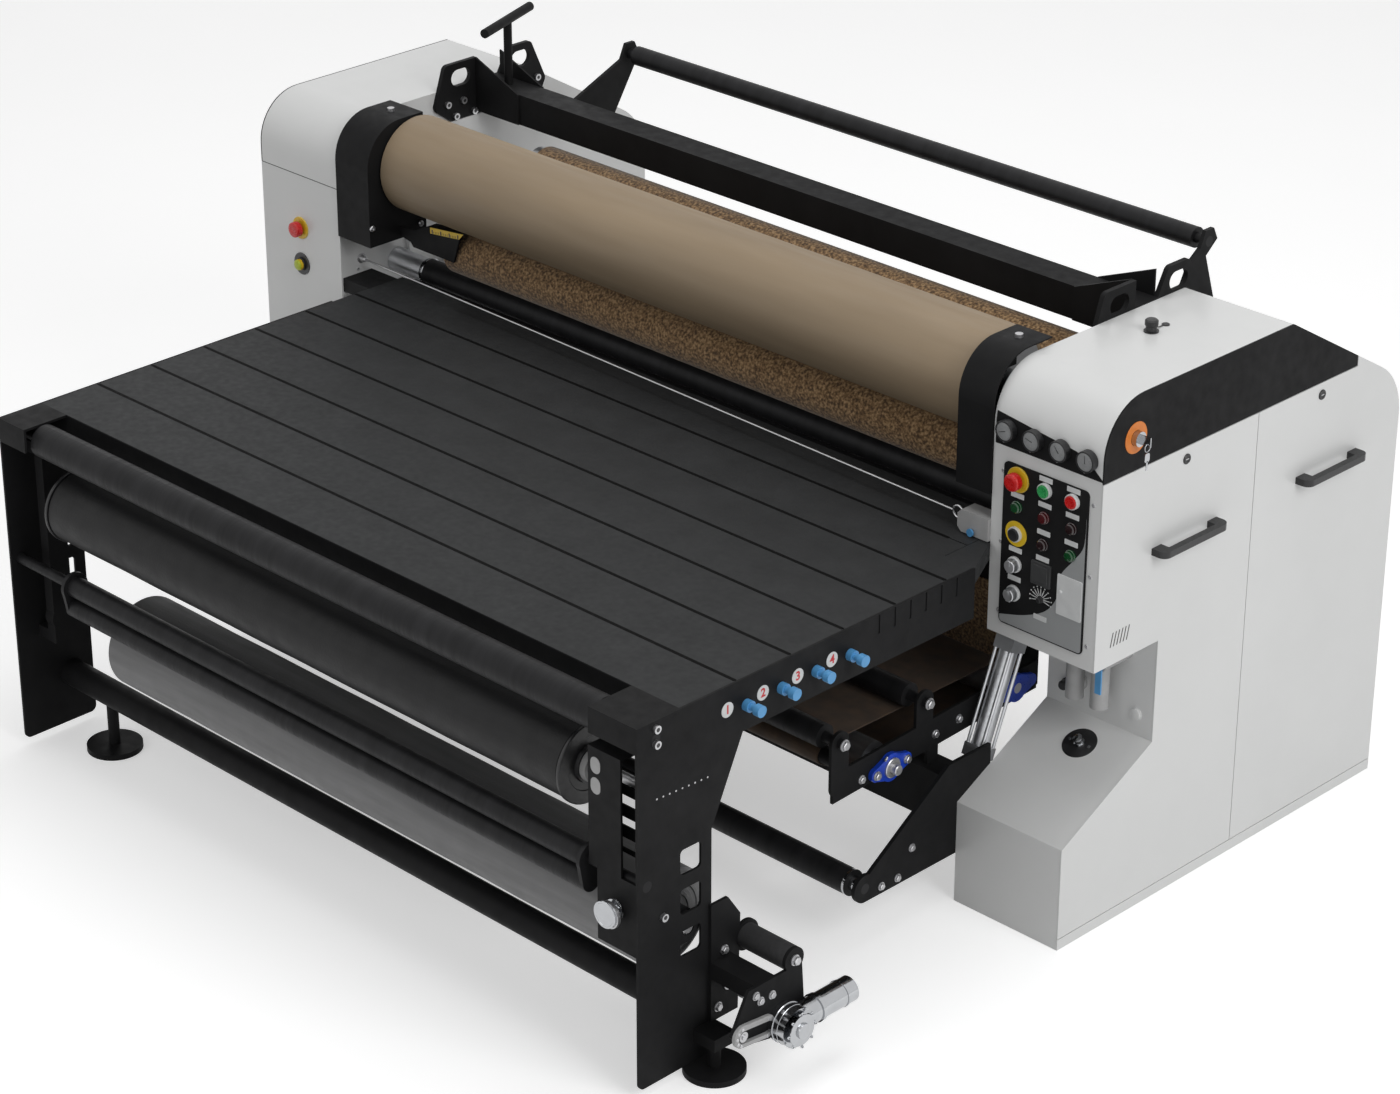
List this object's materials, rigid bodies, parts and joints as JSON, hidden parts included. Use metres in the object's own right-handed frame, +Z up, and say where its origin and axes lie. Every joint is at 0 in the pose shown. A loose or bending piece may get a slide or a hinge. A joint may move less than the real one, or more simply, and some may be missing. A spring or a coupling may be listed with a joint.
{
  "type": "rotary heat transfer calender",
  "caption": "Rotary heat press with a heated drum and felt blanket between two white cabinets, a black feed table and unwinding rolls in front.",
  "frame": {"origin": "middle of the machine's footprint on the floor", "axes": "+X across to the control cabinet, +Y from the feed table to the back, +Z up"},
  "size_m": [2.814, 2.231, 1.469],
  "materials": {
    "white_paint": "satin powder coat",
    "black_paint": "fine texture powder coat",
    "grey_paint": "satin powder coat",
    "drum_coat": "non-stick woven coating",
    "steel": "zinc plated",
    "chrome": "polished",
    "aluminium": "drawn",
    "roller_black": "black anodised",
    "felt": "needled felt",
    "belt": "woven belt",
    "roll_black": "wound sheet",
    "roll_grey": "wound paper",
    "bearing_blue": "painted",
    "red_plastic": "gloss",
    "green_plastic": "gloss",
    "yellow_plastic": "gloss",
    "grey_plastic": "satin",
    "black_plastic": "satin",
    "blue_plastic": "satin",
    "rubber": "matt"
  },
  "bodies": {
    "root": {"right_cabinet": "white_paint", "left_cabinet": "white_paint", "hoods": "white_paint", "side_panels": "black_paint", "control_panel": "black_paint", "panel_instruments": "grey_plastic", "drum_housings": "black_paint", "side_frames": "white_paint", "top_beam": "black_paint", "felt_blanket": "felt", "table_frames": "black_paint", "table_top": "grey_paint", "flange_bearings": "bearing_blue", "conveyor_frame": "black_paint", "conveyor_belt": "belt", "unwind_gearmotor": "chrome", "pull_wire": "steel", "safety_switch": "grey_plastic", "air_unit": "grey_plastic", "drive_gearmotor": "grey_paint", "fasteners": "steel"},
    "drum": {"drum_shell": "drum_coat", "drum_ends": "aluminium"},
    "press": {"nip_arms": "black_paint"},
    "front_door": {"front_door": "white_paint", "front_door_handle": "black_plastic"},
    "rear_door": {"rear_door": "white_paint", "rear_door_handle": "black_plastic"},
    "nip_roller": {"nip_roller": "aluminium"},
    "cylinder_barrels": {"cylinder_barrels": "aluminium"},
    "cylinder_rods": {"cylinder_rods": "chrome"},
    "feed_roller": {"feed_roller": "roller_black"},
    "rear_felt_roller": {"rear_felt_roller": "aluminium"},
    "lower_felt_roller": {"lower_felt_roller": "aluminium"},
    "front_guide_roller": {"front_guide_roller": "roller_black"},
    "front_supply_roll": {"front_supply_roll": "roll_black"},
    "rear_supply_roll": {"rear_supply_roll": "roll_grey"},
    "dancer": {"dancer": "roller_black"},
    "idler_roller": {"idler_roller": "roller_black"},
    "rear_guide_roller": {"rear_guide_roller": "roller_black"},
    "conveyor_front_roller": {"conveyor_front_roller": "aluminium"},
    "conveyor_rear_roller": {"conveyor_rear_roller": "aluminium"},
    "pinch_roller_front": {"pinch_roller_front": "roller_black"},
    "pinch_roller_rear": {"pinch_roller_rear": "roller_black"},
    "unwind_roller": {"unwind_roller": "rubber"},
    "key_switch": {"key_switch": "chrome"},
    "emergency_stop_right": {"emergency_stop_right": "red_plastic"},
    "emergency_stop_left": {"emergency_stop_left": "red_plastic"},
    "start_button": {"start_button": "green_plastic"},
    "stop_button": {"stop_button": "red_plastic"},
    "selector_upper": {"selector_upper": "aluminium"},
    "selector_lower": {"selector_lower": "aluminium"},
    "black_button": {"black_button": "black_plastic"},
    "left_button": {"left_button": "yellow_plastic"},
    "knob_1": {"knob_1": "blue_plastic"},
    "knob_2": {"knob_2": "blue_plastic"},
    "knob_3": {"knob_3": "blue_plastic"},
    "knob_4": {"knob_4": "blue_plastic"},
    "valve_lever": {"valve_lever": "blue_plastic"},
    "reset_button": {"reset_button": "blue_plastic"}
  },
  "joints": [
    {"name": "drum_spin", "type": "hinge", "parent": "root", "child": "drum", "pos_m": [-0.02, 0.1925, 1.173], "axis": [1, 0, 0], "continuous": true},
    {"name": "press_swing", "type": "hinge", "parent": "root", "child": "press", "pos_m": [-0.02, 0.4775, 0.86], "axis": [1, 0, 0], "range_deg": [0, 3], "deforming": ["felt_blanket"]},
    {"name": "nip_roller_spin", "type": "hinge", "parent": "press", "child": "nip_roller", "pos_m": [-0.02, 0.2075, 0.98289], "axis": [1, 0, 0], "continuous": true},
    {"name": "cylinder_tilt", "type": "hinge", "parent": "root", "child": "cylinder_barrels", "pos_m": [-0.02, 0.0585, 0.292], "axis": [1, 0, 0], "range_deg": [-2.62, 0]},
    {"name": "rod_slide", "type": "slide", "parent": "cylinder_barrels", "child": "cylinder_rods", "axis": [0, 0.3777, 0.9259], "range_m": [-0.00999, 0]},
    {"name": "feed_roller_spin", "type": "hinge", "parent": "root", "child": "feed_roller", "pos_m": [-0.02, 0.2235, 0.87], "axis": [1, 0, 0], "continuous": true},
    {"name": "rear_felt_roller_spin", "type": "hinge", "parent": "root", "child": "rear_felt_roller", "pos_m": [-0.02, 0.4975, 1.111], "axis": [1, 0, 0], "continuous": true},
    {"name": "lower_felt_roller_spin", "type": "hinge", "parent": "root", "child": "lower_felt_roller", "pos_m": [-0.02, 0.5775, 1], "axis": [1, 0, 0], "continuous": true},
    {"name": "front_guide_roller_spin", "type": "hinge", "parent": "root", "child": "front_guide_roller", "pos_m": [-0.02, -1.0425, 0.829], "axis": [1, 0, 0], "continuous": true},
    {"name": "front_supply_roll_spin", "type": "hinge", "parent": "root", "child": "front_supply_roll", "pos_m": [-0.02, -0.9975, 0.66396], "axis": [1, 0, 0], "continuous": true},
    {"name": "rear_supply_roll_spin", "type": "hinge", "parent": "root", "child": "rear_supply_roll", "pos_m": [-0.02, -0.9425, 0.345], "axis": [1, 0, 0], "continuous": true},
    {"name": "idler_roller_spin", "type": "hinge", "parent": "root", "child": "idler_roller", "pos_m": [-0.02, -0.3425, 0.158], "axis": [1, 0, 0], "continuous": true},
    {"name": "rear_guide_roller_spin", "type": "hinge", "parent": "root", "child": "rear_guide_roller", "pos_m": [-0.02, 0.7755, 1.362], "axis": [1, 0, 0], "continuous": true},
    {"name": "conveyor_front_roller_spin", "type": "hinge", "parent": "root", "child": "conveyor_front_roller", "pos_m": [-0.02, -0.1855, 0.372], "axis": [1, 0, 0], "continuous": true},
    {"name": "conveyor_rear_roller_spin", "type": "hinge", "parent": "root", "child": "conveyor_rear_roller", "pos_m": [-0.02, 0.2385, 0.40853], "axis": [1, 0, 0], "continuous": true},
    {"name": "pinch_roller_front_spin", "type": "hinge", "parent": "root", "child": "pinch_roller_front", "pos_m": [-0.02, -0.3425, 0.48897], "axis": [1, 0, 0], "continuous": true},
    {"name": "pinch_roller_rear_spin", "type": "hinge", "parent": "root", "child": "pinch_roller_rear", "pos_m": [-0.02, -0.0675, 0.48607], "axis": [1, 0, 0], "continuous": true},
    {"name": "unwind_roller_spin", "type": "hinge", "parent": "root", "child": "unwind_roller", "pos_m": [-0.02, -0.7875, 0.268], "axis": [1, 0, 0], "continuous": true},
    {"name": "dancer_swing", "type": "hinge", "parent": "root", "child": "dancer", "pos_m": [-0.02, -1.0685, 0.49995], "axis": [1, 0, 0], "range_deg": [-25, 8]},
    {"name": "front_door_lift_off", "type": "slide", "parent": "root", "child": "front_door", "axis": [1, 0, 0], "range_m": [0, 0.15]},
    {"name": "rear_door_lift_off", "type": "slide", "parent": "root", "child": "rear_door", "axis": [1, 0, 0], "range_m": [0, 0.15]},
    {"name": "key_turn", "type": "hinge", "parent": "root", "child": "key_switch", "pos_m": [1.367, 0.1385, 1.184], "axis": [1, 0, 0], "range_deg": [0, 90]},
    {"name": "emergency_stop_right_press", "type": "slide", "parent": "root", "child": "emergency_stop_right", "axis": [0, 1, 0], "range_m": [0, 0.004], "stiffness_N_per_m": 600},
    {"name": "emergency_stop_left_press", "type": "slide", "parent": "root", "child": "emergency_stop_left", "axis": [0, 1, 0], "range_m": [0, 0.004], "stiffness_N_per_m": 600},
    {"name": "start_button_press", "type": "slide", "parent": "root", "child": "start_button", "axis": [0, 1, 0], "range_m": [0, 0.004], "stiffness_N_per_m": 600},
    {"name": "black_button_press", "type": "slide", "parent": "root", "child": "black_button", "axis": [0, 1, 0], "range_m": [0, 0.004], "stiffness_N_per_m": 600},
    {"name": "left_button_press", "type": "slide", "parent": "root", "child": "left_button", "axis": [0, 1, 0], "range_m": [0, 0.004], "stiffness_N_per_m": 600},
    {"name": "stop_button_press", "type": "slide", "parent": "root", "child": "stop_button", "axis": [0, 1, 0], "range_m": [0, 0.004], "stiffness_N_per_m": 600},
    {"name": "reset_button_press", "type": "slide", "parent": "root", "child": "reset_button", "axis": [0, 1, 0], "range_m": [0, 0.0035], "stiffness_N_per_m": 600},
    {"name": "selector_upper_turn", "type": "hinge", "parent": "root", "child": "selector_upper", "pos_m": [1.14, 0.0335, 0.845], "axis": [0, 1, 0], "range_deg": [-45, 45]},
    {"name": "selector_lower_turn", "type": "hinge", "parent": "root", "child": "selector_lower", "pos_m": [1.14, 0.0335, 0.776], "axis": [0, 1, 0], "range_deg": [-45, 45]},
    {"name": "knob_1_turn", "type": "hinge", "parent": "root", "child": "knob_1", "pos_m": [1.127, -0.7865, 0.81], "axis": [1, 0, 0], "range_deg": [-135, 135]},
    {"name": "knob_2_turn", "type": "hinge", "parent": "root", "child": "knob_2", "pos_m": [1.127, -0.6835, 0.81], "axis": [1, 0, 0], "range_deg": [-135, 135]},
    {"name": "knob_3_turn", "type": "hinge", "parent": "root", "child": "knob_3", "pos_m": [1.127, -0.5805, 0.81], "axis": [1, 0, 0], "range_deg": [-135, 135]},
    {"name": "knob_4_turn", "type": "hinge", "parent": "root", "child": "knob_4", "pos_m": [1.127, -0.4775, 0.81], "axis": [1, 0, 0], "range_deg": [-135, 135]},
    {"name": "valve_lever_turn", "type": "hinge", "parent": "root", "child": "valve_lever", "pos_m": [1.286, 0.1615, 0.605], "axis": [0, 1, 0], "range_deg": [0, 90]}
  ],
  "couplings": [
    {"joint": "nip_roller_spin", "follows": "drum_spin", "ratio": -2},
    {"joint": "rear_felt_roller_spin", "follows": "drum_spin", "ratio": -2.1345},
    {"joint": "lower_felt_roller_spin", "follows": "drum_spin", "ratio": -2.6186},
    {"joint": "conveyor_rear_roller_spin", "follows": "conveyor_front_roller_spin", "ratio": 1},
    {"joint": "cylinder_tilt", "follows": "press_swing", "ratio": -0.79463},
    {"joint": "rod_slide", "follows": "press_swing", "m_per_rad": -0.17342}
  ]
}
